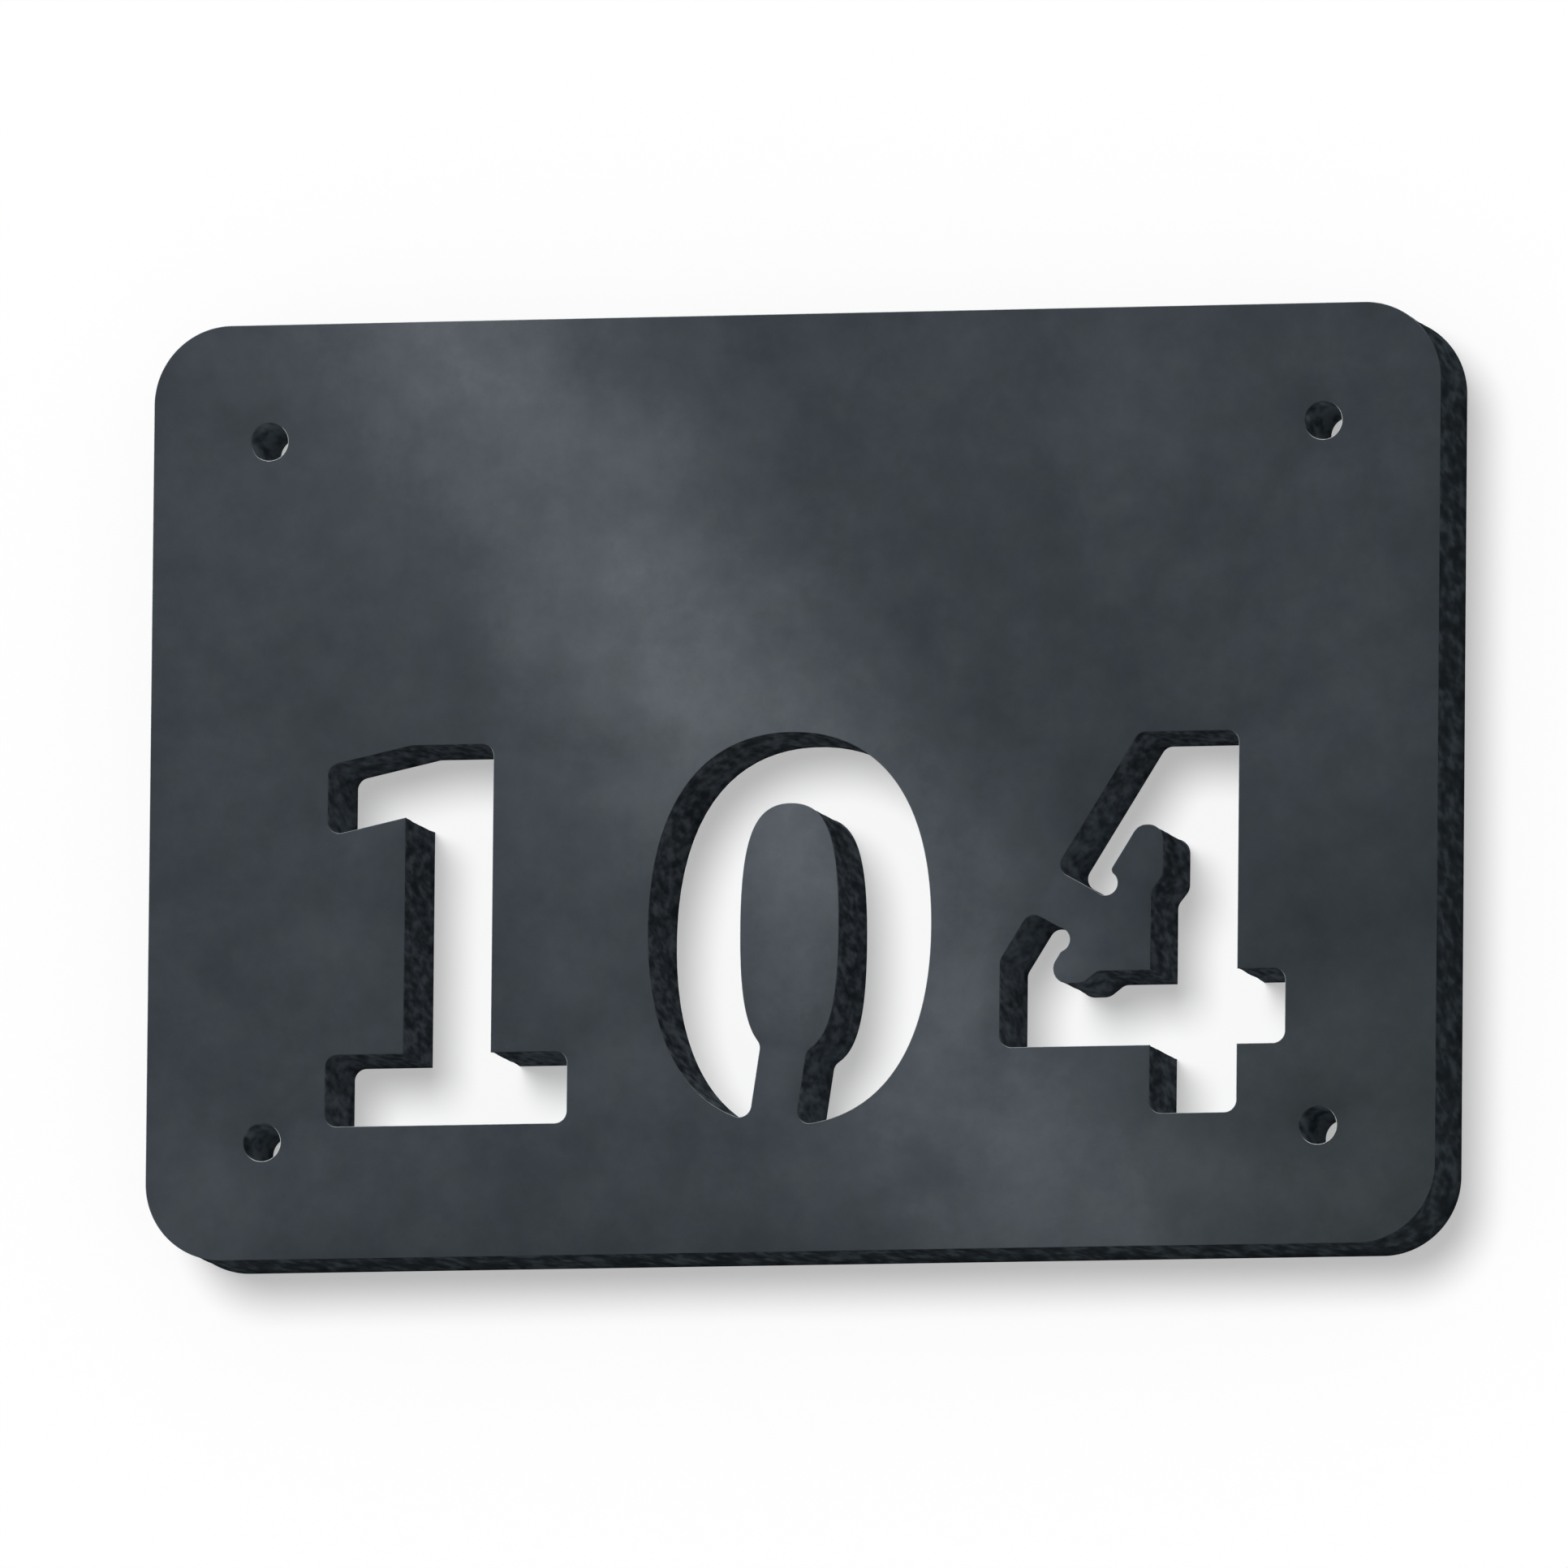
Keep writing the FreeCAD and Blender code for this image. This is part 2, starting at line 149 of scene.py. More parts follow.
def cloudAt(tree, place, x, z, radius, amount):
    # a soft round cloud on the honed front: its amount in the middle, nothing at its radius
    distance = addNode(tree, "ShaderNodeVectorMath", {0: place, 1: (x * mm, cadLow.y, z * mm)},
                       operation="DISTANCE")
    fade = addNode(tree, "ShaderNodeMapRange",
                   {"Value": distance.outputs["Value"], "From Max": radius * mm,
                    "To Min": amount, "To Max": 0},
                   interpolation_type="SMOOTHERSTEP")
    return fade.outputs[0]


def paintedSheenAt(tree, place):
    # the painted sheen, a long pale band: its strength by the distance across it, times that along it
    look = honedSlate
    start = Vector((look["paintedSheenFrom"][0], 0, look["paintedSheenFrom"][1])) * mm
    end = Vector((look["paintedSheenTo"][0], 0, look["paintedSheenTo"][1])) * mm
    along = (end - start).normalized()
    across = along.cross(Vector((0, 1, 0)))
    fromStart = addNode(tree, "ShaderNodeVectorMath", {0: place, 1: start}, operation="SUBTRACT")
    strengths = []
    for direction, stops in ((across, look["paintedSheenAcross"]), (along, look["paintedSheenAlong"])):
        low, high = stops[0][0], stops[-1][0]
        distance = addNode(tree, "ShaderNodeVectorMath", {0: fromStart.outputs[0], 1: direction},
                           operation="DOT_PRODUCT")
        share = addNode(tree, "ShaderNodeMapRange",
                        {"Value": distance.outputs["Value"],
                         "From Min": low * mm, "From Max": high * mm})
        ramp = addNode(tree, "ShaderNodeValToRGB", {"Fac": share.outputs[0]})
        ramp.color_ramp.interpolation = "CARDINAL"
        setRamp(ramp.color_ramp, [((at - low) / (high - low), strength) for at, strength in stops])
        strengths.append(ramp.outputs["Color"])
    paintedSheen = addNode(tree, "ShaderNodeMath", {0: strengths[0], 1: strengths[1]}, operation="MULTIPLY")
    return paintedSheen.outputs[0]


def driftedPlace(tree, place):
    # the place pushed about before the clouds are measured, so that their edges are ragged
    push = addNode(tree, "ShaderNodeTexNoise",
                   {"Vector": place, "Scale": perMetre(honedSlate["driftSize"]),
                    "Detail": 7, "Roughness": 0.62})
    centred = addNode(tree, "ShaderNodeVectorMath", {0: push.outputs["Color"], 1: (0.5, 0.5, 0.5)},
                      operation="SUBTRACT")
    drift = addNode(tree, "ShaderNodeVectorMath",
                    {0: centred.outputs[0], 1: (honedSlate["drift"] * 2 * mm,) * 3},
                    operation="MULTIPLY")
    return addNode(tree, "ShaderNodeVectorMath", {0: place, 1: drift.outputs[0]}).outputs[0]


def makeHonedSlate():
    look = honedSlate
    material, tree = newMaterial("honed slate")
    place = addNode(tree, "ShaderNodeTexCoord").outputs["Object"]
    drifted = driftedPlace(tree, place)
    # the painted sheen, a long pale band, over the plain shade and then the clouds
    level = addNode(tree, "ShaderNodeMath",
                    {0: paintedSheenAt(tree, drifted), 1: look["paintedSheen"], 2: look["ground"]},
                    operation="MULTIPLY_ADD").outputs[0]
    for cloud in look["clouds"]:
        level = addNode(tree, "ShaderNodeMath",
                        {0: level, 1: cloudAt(tree, drifted, *cloud)}).outputs[0]
    for size, detail, amount in look["layers"]:
        pattern = addNode(tree, "ShaderNodeTexNoise",
                          {"Vector": place, "Scale": perMetre(size), "Detail": detail,
                           "Roughness": 0.7})
        scaled = addNode(tree, "ShaderNodeMath",
                         {0: pattern.outputs["Fac"], 1: amount, 2: -amount / 2},
                         operation="MULTIPLY_ADD")
        level = addNode(tree, "ShaderNodeMath", {0: level, 1: scaled.outputs[0]}).outputs[0]

    # the shade's colour, which leans to blue or to green; W sets the flecks apart from the clouds
    blue = addNode(tree, "ShaderNodeValToRGB", {"Fac": level})
    setRamp(blue.color_ramp, look["blueShades"])
    green = addNode(tree, "ShaderNodeValToRGB", {"Fac": level})
    setRamp(green.color_ramp, look["greenShades"])
    lean = addNode(tree, "ShaderNodeTexNoise",
                   {"Vector": place, "W": 3.7, "Scale": perMetre(look["leanSize"]), "Detail": 3},
                   noise_dimensions="4D")
    share = addNode(tree, "ShaderNodeMath",
                    {0: lean.outputs["Fac"], 1: look["leanShare"],
                     2: cloudAt(tree, drifted, *look["greenest"])},
                    operation="MULTIPLY_ADD", use_clamp=True)
    colour = addNode(tree, "ShaderNodeMix",
                     {0: share.outputs[0], 6: blue.outputs["Color"], 7: green.outputs["Color"]},
                     data_type="RGBA").outputs[2]

    sheen = addNode(tree, "ShaderNodeTexNoise",
                    {"Vector": place, "Scale": perMetre(look["sheenSize"]), "Detail": 4,
                     "Roughness": 0.6})
    roughness = addNode(tree, "ShaderNodeMapRange",
                        {"Value": sheen.outputs["Fac"], "From Min": 0.3, "From Max": 0.7,
                         "To Min": look["roughness"][0], "To Max": look["roughness"][1]})
    tooth = addNode(tree, "ShaderNodeTexNoise",
                    {"Vector": place, "Scale": perMetre(look["toothSize"]), "Detail": 4,
                     "Roughness": 0.6})
    bump = addNode(tree, "ShaderNodeBump",
                   {"Strength": 0.12, "Distance": look["toothDepth"] * mm,
                    "Height": tooth.outputs["Fac"]})
    slateShader(tree, look, colour, roughness.outputs[0], bump.outputs[0])
    return material


# Sawn slate: the outer edge of the slab. Broken grains show as soft dark pits and paler crumbs a
# few millimetres across, drawn out through the thickness as the cutter went, with no sheen.
sawnSlate = {
    "shades": [(0.06, "#2f363b"), (0.3, "#3c4349"), (0.6, "#545e64")],
    "roughness": 0.9,
    "gloss": 0,
    "grainSize": 1.8,        # mm, crumbs and pits
    "clotSize": 3.6,         # mm, darker and paler clots of them
    "clotShare": 0.4,        # how strong the clots are beside the grain
    "contrast": (0.34, 0.66),    # the noise's own range that is spread over the shades
    "palest": 0.6,           # where that ends on the shades; what is past it is kept for the painted fill
    "drawn": 3.4,            # times as long through the thickness as along the cut
    "grainDepth": 0.2,       # mm
    "paintedFillToBack": 0,               # how far painted fill makes the shade paler from the front to the back
    "paintedFill": 0,            # how far painted fill pales it where other stone is near and shade falls
    "paintedFillReach": 13,      # mm, how near that is
    "openness": (0.4, 0.9),  # share of open space: where the painted fill is full, and where there is none
}

# Cut slate: the walls of the numerals, the same stone painted paler than the sawn edge, and paler
# still towards the back and in narrow ends: painted light that lifts the shade falling in the cuts.
cutSlate = dict(
    sawnSlate,
    shades=[(0.06, "#43494f"), (0.3, "#596168"), (0.6, "#7b848c"), (1.0, "#9ca6ae")],
    grainSize=1.4, clotSize=2.8, paintedFillToBack=0.06, paintedFill=0.3,
)

# Drilled slate: the screw holes, painted paler still and paler towards the back: painted light,
# so that they aren't black inside where shade falls.
drilledSlate = dict(
    sawnSlate,
    shades=[(0.06, "#4e555a"), (0.3, "#788188"), (0.6, "#aeb6bc")],
    paintedFillToBack=0.3,
)


def makeCutSlate(name, look):
    material, tree = newMaterial(name)
    place = addNode(tree, "ShaderNodeTexCoord").outputs["Object"]
    drawn = addNode(tree, "ShaderNodeVectorMath", {0: place, 1: (1, 1 / look["drawn"], 1)},
                    operation="MULTIPLY").outputs[0]
    grain = addNode(tree, "ShaderNodeTexNoise",
                    {"Vector": drawn, "Scale": perMetre(look["grainSize"]), "Detail": 2,
                     "Roughness": 0.5})
    clots = addNode(tree, "ShaderNodeTexNoise",
                    {"Vector": drawn, "Scale": perMetre(look["clotSize"]), "Detail": 2})
    level = addNode(tree, "ShaderNodeMix",
                    {0: look["clotShare"], 2: grain.outputs["Fac"], 3: clots.outputs["Fac"]})
    spread = addNode(tree, "ShaderNodeMapRange",
                     {"Value": level.outputs[0], "From Min": look["contrast"][0],
                      "From Max": look["contrast"][1], "To Max": look["palest"]})
    along = addNode(tree, "ShaderNodeSeparateXYZ", {"Vector": place})
    # painted light: paler towards the back of the wall, where less light reaches
    paintedFillToBack = addNode(tree, "ShaderNodeMapRange",
                   {"Value": along.outputs["Y"], "From Min": cadLow.y, "From Max": cadHigh.y,
                    "To Max": look["paintedFillToBack"]})
    shade = addNode(tree, "ShaderNodeMath", {0: spread.outputs[0], 1: paintedFillToBack.outputs[0]}).outputs[0]
    # painted light: paler where other stone is near, lifting the shade that falls there
    if look["paintedFill"]:
        space = addNode(tree, "ShaderNodeAmbientOcclusion",
                        {"Distance": look["paintedFillReach"] * mm}, samples=8, only_local=True)
        paintedFilled = addNode(tree, "ShaderNodeMapRange",
                            {"Value": space.outputs["AO"], "From Min": look["openness"][0],
                             "From Max": look["openness"][1], "To Min": look["paintedFill"],
                             "To Max": 0})
        shade = addNode(tree, "ShaderNodeMath", {0: shade, 1: paintedFilled.outputs[0]}).outputs[0]
    colour = addNode(tree, "ShaderNodeValToRGB", {"Fac": shade})
    setRamp(colour.color_ramp, look["shades"])
    bump = addNode(tree, "ShaderNodeBump",
                   {"Strength": 0.4, "Distance": look["grainDepth"] * mm,
                    "Height": grain.outputs["Fac"]})
    slateShader(tree, look, colour.outputs["Color"], look["roughness"], bump.outputs[0])
    return material


# Arris: a painted highlight, pale grey on the edges that look up and to the left, towards the lamp.
# It's as dark as the honed face on the other edges.
paintedHighlightArris = {
    "paintedHighlightShades": [(0.3, "#858b8e"), (0.7, "#a6acae")],
    "plain": "#363c41",
    "towards": (-0.7, 0, 0.7),   # where painted-highlight edges look: towards the lamp
    "turned": (-0.2, 0.3),   # how far it looks there: plain to one, painted highlight from the other
    "roughness": 0.7,
    "gloss": 0.1,
    "grainSize": 0.8,        # mm
}

# The rims of the screw holes: the same painted highlight, paler still.
paintedHoleHighlightArris = dict(paintedHighlightArris, paintedHighlightShades=[(0.3, "#bcc1c3"), (0.7, "#dfe3e4")])


def makeArris(name, look):
    material, tree = newMaterial(name)
    coordinates = addNode(tree, "ShaderNodeTexCoord")
    grain = addNode(tree, "ShaderNodeTexNoise",
                    {"Vector": coordinates.outputs["Object"], "Scale": perMetre(look["grainSize"]),
                     "Detail": 3})
    paintedHighlightShades = addNode(tree, "ShaderNodeValToRGB", {"Fac": grain.outputs["Fac"]})
    setRamp(paintedHighlightShades.color_ramp, look["paintedHighlightShades"])
    # paler on edges that face the lamp: a painted highlight
    facing = addNode(tree, "ShaderNodeVectorMath",
                     {0: coordinates.outputs["Normal"], 1: look["towards"]},
                     operation="DOT_PRODUCT")
    share = addNode(tree, "ShaderNodeMapRange",
                    {"Value": facing.outputs["Value"], "From Min": look["turned"][0],
                     "From Max": look["turned"][1]},
                    interpolation_type="SMOOTHSTEP")
    colour = addNode(tree, "ShaderNodeMix",
                     {0: share.outputs[0], 6: rgb(look["plain"]), 7: paintedHighlightShades.outputs["Color"]},
                     data_type="RGBA")
    slateShader(tree, look, colour.outputs[2], look["roughness"])
    return material


# Ground slate: the back, ground level by a wheel, plain grey with faint straight marks.
groundSlate = {
    "shades": [(0.25, "#343a3e"), (0.75, "#464c50")],
    "roughness": 0.8,
    "gloss": 0,
    "cloudSize": 26,         # mm
    "markPitch": 1.8,        # mm between wheel marks, drawn coarser than the real 0.3 mm
    "markDepth": 0.05,       # mm
}


def makeGroundSlate():
    look = groundSlate
    material, tree = newMaterial("ground slate")
    place = addNode(tree, "ShaderNodeTexCoord").outputs["Object"]
    clouds = addNode(tree, "ShaderNodeTexNoise",
                     {"Vector": place, "Scale": perMetre(look["cloudSize"]), "Detail": 7,
                      "Roughness": 0.6})
    colour = addNode(tree, "ShaderNodeValToRGB", {"Fac": clouds.outputs["Fac"]})
    setRamp(colour.color_ramp, look["shades"])
    # Blender's wave turns through 20 radians in one unit of scale
    marks = addNode(tree, "ShaderNodeTexWave",
                    {"Vector": place, "Scale": perMetre(look["markPitch"]) * math.tau / 20,
                     "Distortion": 1.5, "Detail": 2, "Detail Scale": 2},
                    wave_type="BANDS", bands_direction="X")
    bump = addNode(tree, "ShaderNodeBump",
                   {"Strength": 0.25, "Distance": look["markDepth"] * mm,
                    "Height": marks.outputs["Fac"]})
    slateShader(tree, look, colour.outputs["Color"], look["roughness"], bump.outputs[0])
    return material


# The plaque. Its outlines, thickness and arris are read off the frame, so it has the true size;
# here the cut walls get real pits and crumbs, which go inwards only.
slatePlaque = {
    "pitch": 0.6,            # mm between points along the walls
    "rowPitch": 1.2,         # mm between rows of points through the thickness
    "pitDepth": 0.22,        # mm, the deepest pit
    "pitSize": 1.7,          # mm across
    "pitShare": 0.55,        # how much of the depth pits make
    "crumbSize": 0.9,        # mm across
    "crumbShare": 0.35,      # how much of the depth crumbs make
    "evenDepth": 0.42,       # share of the depth where there is neither
    "crispEdge": 1.2,        # mm beside the front and back edges where the pits fade out
    "edgeGirth": 600,        # mm; an outline longer than this is the slab's own edge
    "holeGirth": 30,         # mm; an outline shorter than this is a drilled hole
    "sharpTurn": 30,         # degrees; an outline turns less than this along a curve
    "straightRun": 3,        # a chord this many times as long as the next isn't part of a curve
    "leastMitre": 0.3,       # cosine that stops a mitre from growing long in a sharp corner
    "creaseTurn": 50,        # degrees; faces that meet at more than this are shaded apart
    "mapGap": 2,             # mm between islands of the texture map
    "mapSide": 344,          # mm, side of the square that the texture map covers
}


def readOutlines(mesh, level):
    # the closed outlines of the flat face at this place along Y, each a list of points in order
    flat = bmesh.new()
    flat.from_mesh(mesh)
    bmesh.ops.remove_doubles(flat, verts=flat.verts, dist=closePoints)
    onFace = [f for f in flat.faces if all(abs(v.co.y - level) < closePoints for v in f.verts)]
    ownFaces = set(onFace)
    following = {}
    for face in onFace:
        for corner in face.loops:
            if not all(other in ownFaces for other in corner.edge.link_faces):
                following[corner.vert] = corner.link_loop_next.vert
    outlines = []
    while following:
        start, vert = next(iter(following.items()))
        points = [start.co.copy()]
        del following[start]
        while vert != start:
            points.append(vert.co.copy())
            vert = following.pop(vert)
        outlines.append(points)
    flat.free()
    return outlines


def outlineTangents(points, chords):
    # the outline's direction at each point, or None at a sharp corner
    sharp = math.radians(slatePlaque["sharpTurn"])
    straight = slatePlaque["straightRun"]
    tangents = []
    for i in range(len(points)):
        before, after = chords[i - 1], chords[i]
        if before.angle(after) > sharp:
            tangents.append(None)
        elif before.length > straight * after.length:
            tangents.append(before.normalized())
        elif after.length > straight * before.length:
            tangents.append(after.normalized())
        else:
            turned = before / before.length ** 2 + after / after.length ** 2
            tangents.append(turned.normalized())
    return tangents


def smoothOutline(points):
    # more points on an outline: short chords become a curve, long runs and corners stay as they are
    pitch = slatePlaque["pitch"] * mm
    count = len(points)
    chords = [points[(i + 1) % count] - points[i] for i in range(count)]
    tangents = outlineTangents(points, chords)
    dense = []
    for i, chord in enumerate(chords):
        leave = (tangents[i] or chord.normalized()) * chord.length
        arrive = (tangents[(i + 1) % count] or chord.normalized()) * chord.length
        steps = max(1, round(chord.length / pitch))
        for step in range(steps):
            t = step / steps
            bend = leave * (t * (1 - t) ** 2) - arrive * (t * t * (1 - t))
            dense.append(points[i] + chord * (t * t * (3 - 2 * t)) + bend)
    return dense


def wallNormals(points):
    # the level direction out of the stone at each point, and how far a mitre lengthens it there
    outs, mitres = [], []
    for i in range(len(points)):
        before = (points[i] - points[i - 1]).normalized()
        after = (points[(i + 1) % len(points)] - points[i]).normalized()
        outs.append((before + after).normalized().cross(Vector((0, 1, 0))))
        mitres.append(1 / max(slatePlaque["leastMitre"], math.cos(before.angle(after) / 2)))
    return outs, mitres


def pitAt(point):
    # how deep the cut wall is pitted at a point, from 0 to 1; pits are drawn out as their colours are
    look = slatePlaque
    point = Vector((point.x, point.y / sawnSlate["drawn"], point.z))
    apart = Vector((7, 3, 5))    # the crumbs' noise starts elsewhere, so they don't follow the pits
    pits = look["pitShare"] * noise.noise(point * perMetre(look["pitSize"]))
    crumbs = look["crumbShare"] * noise.noise(point * perMetre(look["crumbSize"]) + apart)
    return min(1, max(0, look["evenDepth"] + pits + crumbs))


def wallPoints(outline, arris, rows):
    # rings of points from the back to the front: the pitted wall, then the rim inside the arris
    look = slatePlaque
    thickness = cadHigh.y - cadLow.y
    wallDepth = thickness - arris
    outs, mitres = wallNormals(outline)
    points = []
    for row in range(rows + 1):
        depth = wallDepth * row / rows
        fromEdge = min(1, min(depth, wallDepth - depth) / (look["crispEdge"] * mm))
        fade = fromEdge ** 2 * (3 - 2 * fromEdge)
        for place, out in zip(outline, outs):
            point = place - Vector((0, depth, 0))
            points.append(point - out * pitAt(point) * look["pitDepth"] * mm * fade)
    for place, out, mitre in zip(outline, outs, mitres):
        points.append(place - out * arris * mitre - Vector((0, thickness, 0)))
    return points


def wallFinish(girth):
    # the finish of a wall and that of its arris, told by the outline's length
    if girth > slatePlaque["edgeGirth"] * mm:
        return "sawn", "paintedHighlight"
    if girth > slatePlaque["holeGirth"] * mm:
        return "cut", "paintedHighlight"
    return "drilled", "paintedHoleHighlight"


def makeWalls(outlines, arris, rows, slots):
    # all walls as one open mesh, four-sided faces in rows, and each face's place on the texture map
    column = (slatePlaque["mapSide"] - 3 * slatePlaque["mapGap"]) * mm
    points, faces, faceSlots, mapped = [], [], [], []
    run = 0    # the walls' length so far, laid in columns beside each other on the map
    for outline in outlines:
        first, count = len(points), len(outline)
        points += wallPoints(outline, arris, rows)
        reach = [(outline[(i + 1) % count] - outline[i]).length for i in range(count)]
        wall, rim = (slots[name] for name in wallFinish(sum(reach)))
        for i in range(count):
            j = (i + 1) % count
            strip, start = divmod(run, column)
            for row in range(rows + 1):
                low, high = first + row * count, first + (row + 1) * count
                faces.append((low + i, low + j, high + j, high + i))
                faceSlots.append(wall if row < rows else rim)
                mapped.append((strip, start, start + reach[i], row))
            run += reach[i]
    mesh = bpy.data.meshes.new("slatePlaque")
    mesh.from_pydata(points, [], faces)
    mesh.polygons.foreach_set("material_index", faceSlots)
    mapWalls(mesh, mapped, rows, (cadHigh.y - cadLow.y - arris) / rows)
    return mesh


def mapWalls(mesh, mapped, rows, rowHeight):
    # the walls' places on the texture map: strips beside the two faces
    gap = slatePlaque["mapGap"] * mm
    layer = mesh.uv_layers.new(name="OFBake")
    left = cadHigh.x - cadLow.x + 2 * gap
    places = []
    for strip, start, end, row in mapped:
        near = left + strip * ((rows + 1) * rowHeight + gap) + row * rowHeight
        far = near + rowHeight
        low, high = start + gap, end + gap
        places += [near, low, near, high, far, high, far, low]
    side = slatePlaque["mapSide"] * mm
    if max(places) > side:
        raise ValueError(f"the texture map needs a side of {max(places) / mm:.0f} mm")
    layer.uv.foreach_set("vector", [place / side for place in places])


def flatPlace(point, shelf):
    # a front or back point's place on the texture map, the back above the front
    gap = slatePlaque["mapGap"] * mm
    across = point.x - cadLow.x + gap
    up = point.z - cadLow.z + gap + shelf * (cadHigh.z - cadLow.z + gap)
    return Vector((across, up)) / (slatePlaque["mapSide"] * mm)


def closeSlab(mesh, slots):
    # the front and the back are filled from the walls' own rims; the pitted walls are shaded smooth
    solid = bmesh.new()
    solid.from_mesh(mesh)
    mapLayer = solid.loops.layers.uv.active
    for level, finish, shelf in ((cadLow.y, "honed", 0), (cadHigh.y, "ground", 1)):
        before = set(solid.faces)
        rim = [e for e in solid.edges
               if e.is_boundary and abs(e.verts[0].co.y - level) < closePoints]
        bmesh.ops.triangle_fill(solid, edges=rim, use_beauty=True)
        for face in set(solid.faces) - before:
            face.material_index = slots[finish]
            for corner in face.loops:
                corner[mapLayer].uv = flatPlace(corner.vert.co, shelf)
    bmesh.ops.recalc_face_normals(solid, faces=solid.faces)
    pitted = {slots["sawn"], slots["cut"], slots["drilled"]}
    for face in solid.faces:
        face.smooth = face.material_index in pitted
    solid.to_mesh(mesh)
    solid.free()
    mesh.set_sharp_from_angle(angle=math.radians(slatePlaque["creaseTurn"]))


def makePlaque():
    # the order of the finishes is that of the material slots
    finishes = {
        "honed": makeHonedSlate(),
        "paintedHighlight": makeArris("rubbed arris", paintedHighlightArris),
        "ground": makeGroundSlate(),
        "sawn": makeCutSlate("sawn slate", sawnSlate),
        "cut": makeCutSlate("cut slate", cutSlate),
        "drilled": makeCutSlate("drilled slate", drilledSlate),
        "paintedHoleHighlight": makeArris("chipped arris", paintedHoleHighlightArris),
    }
    slots = {name: slot for slot, name in enumerate(finishes)}
    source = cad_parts["plaque"].data
    levels = sorted({round(v.co.y, 6) for v in source.vertices})
    arris = levels[1] - cadLow.y    # the walls start at the next level behind the front
    rows = round((cadHigh.y - cadLow.y - arris) / (slatePlaque["rowPitch"] * mm))
    outlines = [smoothOutline(points) for points in readOutlines(source, cadHigh.y)]
    mesh = makeWalls(outlines, arris, rows, slots)
    closeSlab(mesh, slots)
    for material in finishes.values():
        mesh.materials.append(material)
    plaque = bpy.data.objects.new("slatePlaque", mesh)
    bpy.context.scene.collection.objects.link(plaque)
    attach(plaque, "root")
    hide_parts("plaque")
    print(f"plaque made: {len(mesh.polygons)} faces, arris {arris / mm:.2f} mm")


makePlaque()


# The stage: a white wall that the plaque hangs on, a white floor far below, and one large soft
# lamp from the upper left. The wall stops at the outline of the plaque's back.
stage = {
    "wallSize": 3000,        # mm
    "floorDrop": 1400,       # mm below the middle of the plaque
    "white": "#fdfdfd",
    "givenBack": "#a0a0a0",  # what light finds there, so that the wall doesn't light the shaded edges
    "ownGlow": 0.43,         # share of the white that shadows leave, for the camera and mirror images
    "lampAngle": 23,         # degrees across, so that shadows are soft
    "lampTilt": 16.5,        # degrees off square to the wall
    "lampTurn": 55,          # degrees above level, to the left
    "lampLevel": 0.81,       # of a plain level, at which a colour renders as written
    "backTowards": (0.35, -1, -0.5),    # the way the weak lamp behind the plaque shines
    "backAngle": 60,         # degrees across
    "backLevel": 0.6,
    "roomLevel": 0.24,
}


def seenDirectly(tree):
    # 1 for a ray that shows a thing or its mirror image, 0 for a ray that gathers light
    path = addNode(tree, "ShaderNodeLightPath")
    mirrored = addNode(tree, "ShaderNodeMath",
                       {0: path.outputs["Is Glossy Ray"], 1: path.outputs["Is Transmission Ray"]})
    seen = addNode(tree, "ShaderNodeMath",
                   {0: mirrored.outputs[0], 1: path.outputs["Is Camera Ray"]}, use_clamp=True)
    return seen.outputs[0]


def makeStageWhite(name):
    # white paint; its back lets the camera through, so the plaque shows from behind too
    material, tree = newMaterial(name)
    seen = seenDirectly(tree)
    tone = addNode(tree, "ShaderNodeMix",
                   {0: seen, 6: rgb(stage["givenBack"]), 7: rgb(stage["white"])}, data_type="RGBA")
    paint = addNode(tree, "ShaderNodeBsdfDiffuse", {"Color": tone.outputs[2]})
    glow = addNode(tree, "ShaderNodeEmission", {"Color": rgb(stage["white"]), "Strength": 1})
    glowShare = addNode(tree, "ShaderNodeMath", {0: seen, 1: stage["ownGlow"]},
                        operation="MULTIPLY")
    lit = addNode(tree, "ShaderNodeMixShader",
                  {0: glowShare.outputs[0], 1: paint.outputs[0], 2: glow.outputs[0]})
    path = addNode(tree, "ShaderNodeLightPath")
    side = addNode(tree, "ShaderNodeNewGeometry")
    seenBack = addNode(tree, "ShaderNodeMath",
                       {0: path.outputs["Is Camera Ray"], 1: side.outputs["Backfacing"]},
                       operation="MULTIPLY")
    clear = addNode(tree, "ShaderNodeBsdfTransparent")
    final = addNode(tree, "ShaderNodeMixShader",
                    {0: seenBack.outputs[0], 1: lit.outputs[0], 2: clear.outputs[0]})
    addNode(tree, "ShaderNodeOutputMaterial", {"Surface": final.outputs[0]})
    return material


def makeStagePiece(name, solid):
    mesh = bpy.data.meshes.new(name)
    solid.to_mesh(mesh)
    solid.free()
    mesh.materials.append(makeStageWhite(name + " white"))
    piece = bpy.data.objects.new(name, mesh)
    bpy.context.scene.collection.objects.link(piece)


def makeWall():
    half = stage["wallSize"] / 2 * mm
    foot = -stage["floorDrop"] * mm
    level = cadHigh.y
    sheet = [Vector((x, level, z))
             for x, z in ((-half, foot), (half, foot), (half, half), (-half, half))]
    solid = bmesh.new()
    for outline in [sheet] + readOutlines(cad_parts["plaque"].data, level):
        verts = [solid.verts.new(point) for point in outline]
        for i in range(len(verts)):
            solid.edges.new((verts[i - 1], verts[i]))
    bmesh.ops.triangle_fill(solid, edges=solid.edges, use_beauty=True)
    for face in solid.faces:
        if face.normal.y > 0:
            face.normal_flip()
    makeStagePiece("wall", solid)


def makeFloor():
    half = stage["wallSize"] * mm
    solid = bmesh.new()
    corners = [solid.verts.new((x * half, y * half, -stage["floorDrop"] * mm))
               for x, y in ((-1, -1), (1, -1), (1, 1), (-1, 1))]
    solid.faces.new(corners)
    makeStagePiece("floor", solid)


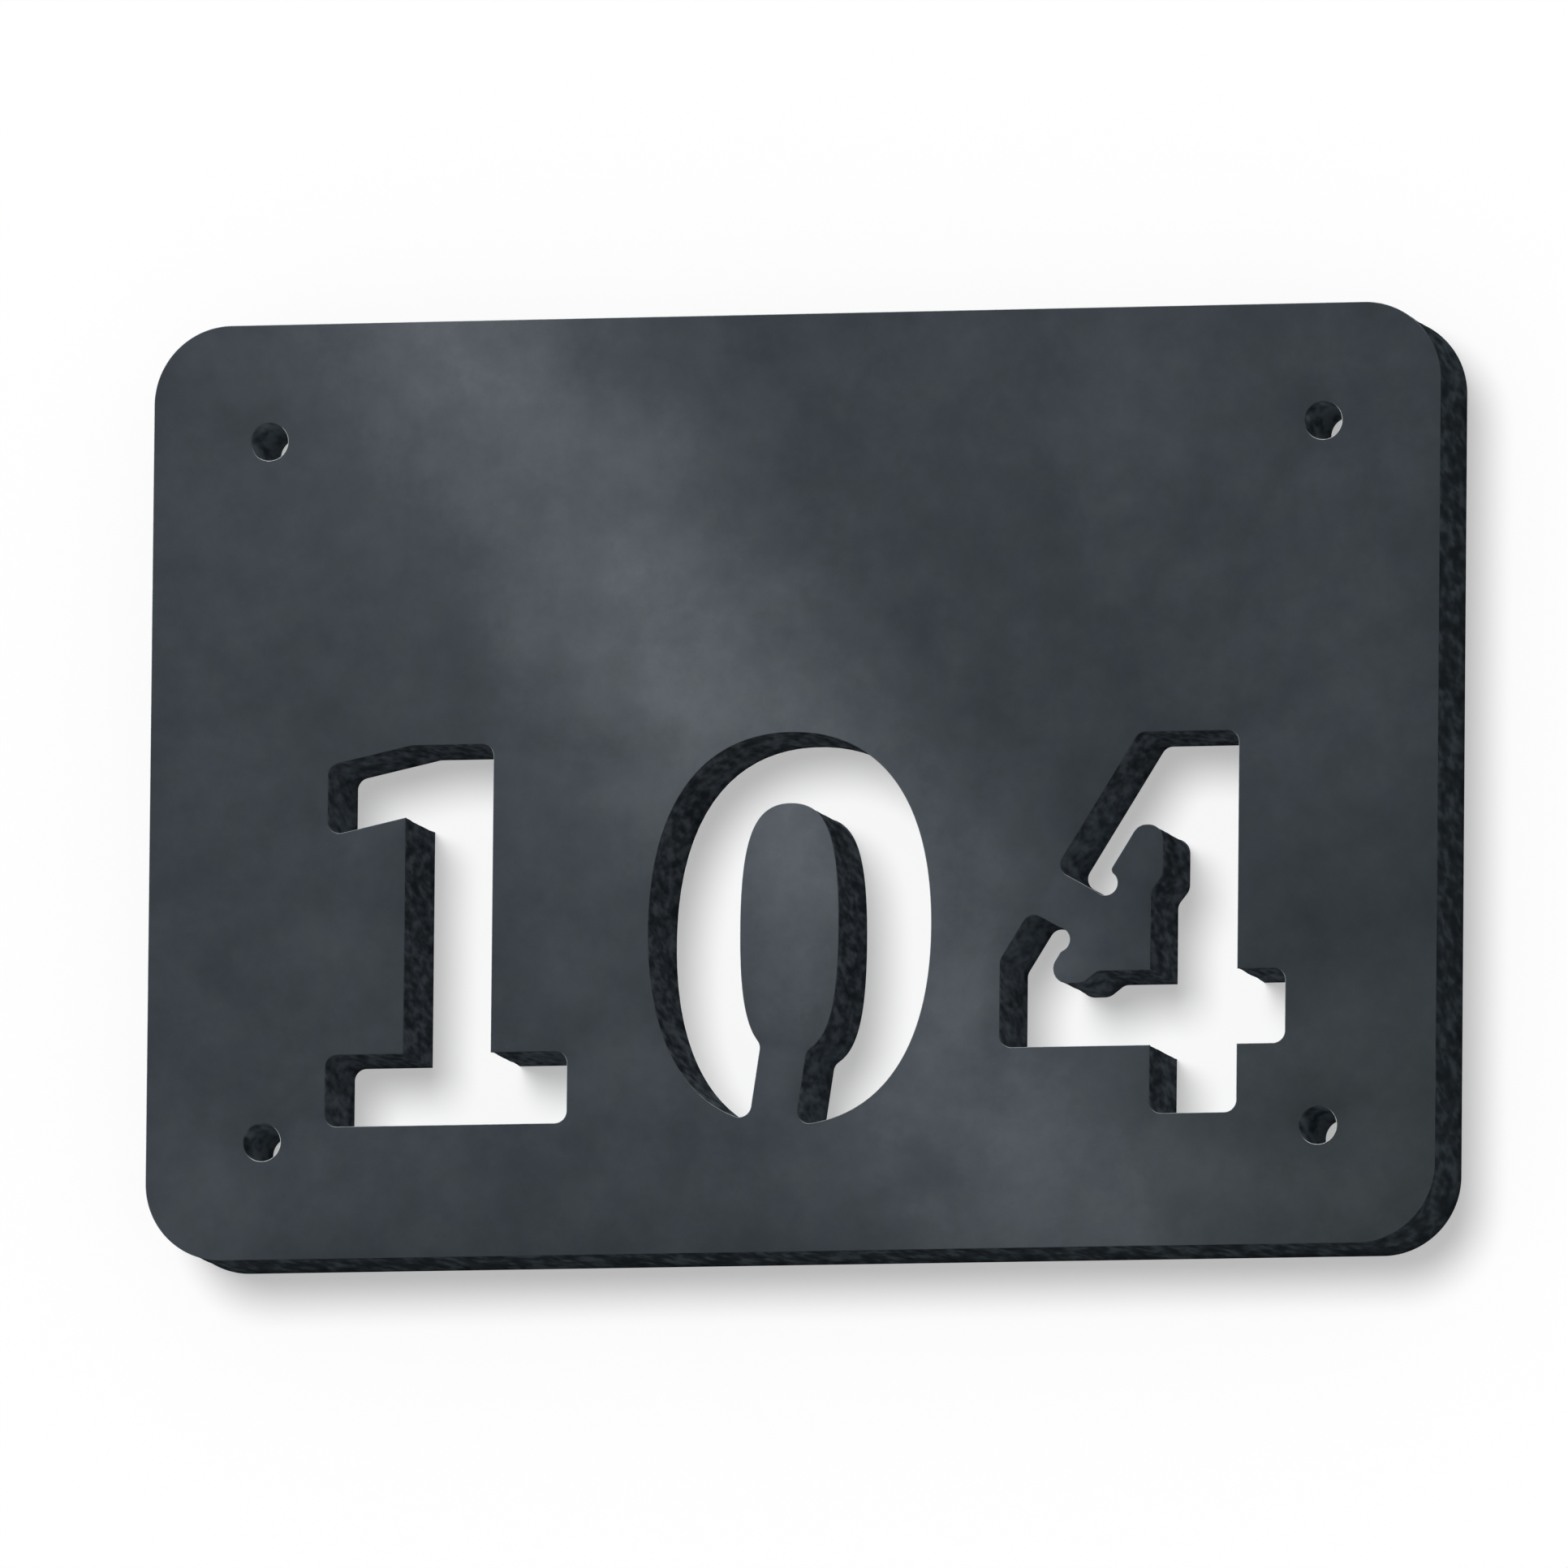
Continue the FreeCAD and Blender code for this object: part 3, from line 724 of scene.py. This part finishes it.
def makeSun(name, towards, level, angle):
    # a lamp far away: level is the share of a plain level that it gives a surface facing it
    data = bpy.data.lights.new(name, "SUN")
    data.energy = level * math.pi
    data.angle = math.radians(angle)
    lamp = bpy.data.objects.new(name, data)
    lamp.rotation_euler = towards.to_track_quat("-Z", "Y").to_euler()
    bpy.context.scene.collection.objects.link(lamp)


def makeLights():
    tilt, turn = math.radians(stage["lampTilt"]), math.radians(stage["lampTurn"])
    towards = Vector((math.sin(tilt) * math.cos(turn), math.cos(tilt),
                      -math.sin(tilt) * math.sin(turn)))
    makeSun("softLamp", towards, stage["lampLevel"] / math.cos(tilt), stage["lampAngle"])
    makeSun("backLamp", Vector(stage["backTowards"]), stage["backLevel"], stage["backAngle"])
    world = bpy.data.worlds.new("room")
    bpy.context.scene.world = world
    world.use_nodes = True
    tree = world.node_tree
    tree.nodes.clear()
    strength = addNode(tree, "ShaderNodeMapRange",
                       {"Value": seenDirectly(tree), "To Min": stage["roomLevel"], "To Max": 1})
    light = addNode(tree, "ShaderNodeBackground",
                    {"Color": (1, 1, 1, 1), "Strength": strength.outputs[0]})
    addNode(tree, "ShaderNodeOutputWorld", {"Surface": light.outputs[0]})


makeWall()
makeFloor()
makeLights()
print("stage made")


# The camera stands to the right and a little below, far off with a long lens.
photoCamera = {
    "lens": 900,             # mm
    "sensor": 36,            # mm
    "azimuth": 13.2,         # degrees to the right of square on
    "elevation": -6.9,       # degrees
    "roll": 0.55,            # degrees
    "frameWidth": 249,       # mm across the frame at the plaque's front
    "aim": (-1.2, -0.3),     # mm, across and up from the middle of the plaque's front
}


def makeCamera():
    view = photoCamera
    data = bpy.data.cameras.new("photoCamera")
    data.lens, data.sensor_width = view["lens"], view["sensor"]
    azimuth, elevation, roll = (math.radians(view[k]) for k in ("azimuth", "elevation", "roll"))
    back = Vector((math.sin(azimuth) * math.cos(elevation),
                   -math.cos(azimuth) * math.cos(elevation), math.sin(elevation)))
    level = Vector((math.cos(azimuth), math.sin(azimuth), 0))
    up = back.cross(level)
    right = level * math.cos(roll) + up * math.sin(roll)
    distance = view["frameWidth"] * mm * view["lens"] / view["sensor"]
    data.clip_end = distance * 3    # well past the wall
    target = Vector((view["aim"][0] * mm, cadLow.y, view["aim"][1] * mm))
    turned = Matrix((right, back.cross(right), back)).transposed().to_4x4()
    camera = bpy.data.objects.new("photoCamera", data)
    camera.matrix_world = Matrix.Translation(target + back * distance) @ turned
    bpy.context.scene.collection.objects.link(camera)
    bpy.context.scene.camera = camera


makeCamera()
bpy.context.scene.view_settings.view_transform = "Standard"
print("camera made")
